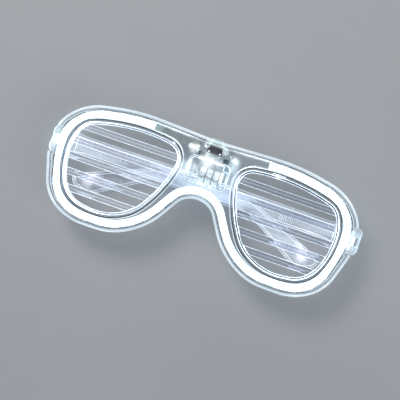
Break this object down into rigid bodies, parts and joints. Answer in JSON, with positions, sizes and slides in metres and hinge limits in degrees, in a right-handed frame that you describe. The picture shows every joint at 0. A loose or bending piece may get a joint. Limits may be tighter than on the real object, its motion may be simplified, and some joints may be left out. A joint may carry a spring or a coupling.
{
  "type": "light-up shutter glasses",
  "caption": "Folded clear plastic shutter glasses with a light strip round the slatted eye openings, a battery box on the bridge and two crossed folding arms.",
  "frame": {"origin": "middle of the front's outline in X and Y, at the lowest point of the lower folded arm in Z", "axes": "+Z out of the front face, +Y towards the brow, +X to the right of someone who looks at the front face"},
  "size_m": [0.1667, 0.0636, 0.0167],
  "materials": {
    "clear_cover": "clear glossy polystyrene",
    "clear_tray": "clear glossy polystyrene",
    "clear_grille": "clear glossy polystyrene",
    "clear_arm": "clear glossy polystyrene",
    "clear_button": "clear glossy polystyrene",
    "glow_strip": "milky light guide, lit cool white",
    "flex_circuit": "white flexible circuit",
    "lamp": "clear epoxy lamp",
    "board": "pale circuit board",
    "switch_black": "black moulded plastic",
    "switch_stem": "white moulded plastic",
    "cell_steel": "polished steel can",
    "contact_steel": "nickel-plated spring steel",
    "screw_steel": "zinc-plated steel"
  },
  "bodies": {
    "front": {"front_shell": "clear_cover", "back_shell": "clear_tray", "left_grille": "clear_grille", "right_grille": "clear_grille", "light_strip": "glow_strip", "strip_ribbon": "flex_circuit", "left_lamp": "lamp", "right_lamp": "lamp", "switch_body": "switch_black", "circuit_board": "board", "contact_spring": "contact_steel", "contact_plate": "contact_steel", "button_cell_1": "cell_steel", "button_cell_2": "cell_steel", "button_cell_3": "cell_steel", "battery_door": "clear_tray", "door_screw": "screw_steel"},
    "left_arm": {"left_arm": "clear_arm"},
    "right_arm": {"right_arm": "clear_arm"},
    "button": {"button_cap": "clear_button", "switch_plunger": "switch_stem"}
  },
  "joints": [
    {"name": "left_arm_hinge", "type": "hinge", "parent": "front", "child": "left_arm", "pos_m": [-0.0779, 0.00535, 0.00612], "axis": [0, 1, 0], "range_deg": [0, 91]},
    {"name": "right_arm_hinge", "type": "hinge", "parent": "front", "child": "right_arm", "pos_m": [0.0779, 0.00535, 0.00612], "axis": [0, -1, 0], "range_deg": [0, 89]},
    {"name": "button_press", "type": "slide", "parent": "front", "child": "button", "axis": [0, -1, 0], "range_m": [0, 0.0005], "stiffness_N_per_m": 300}
  ]
}
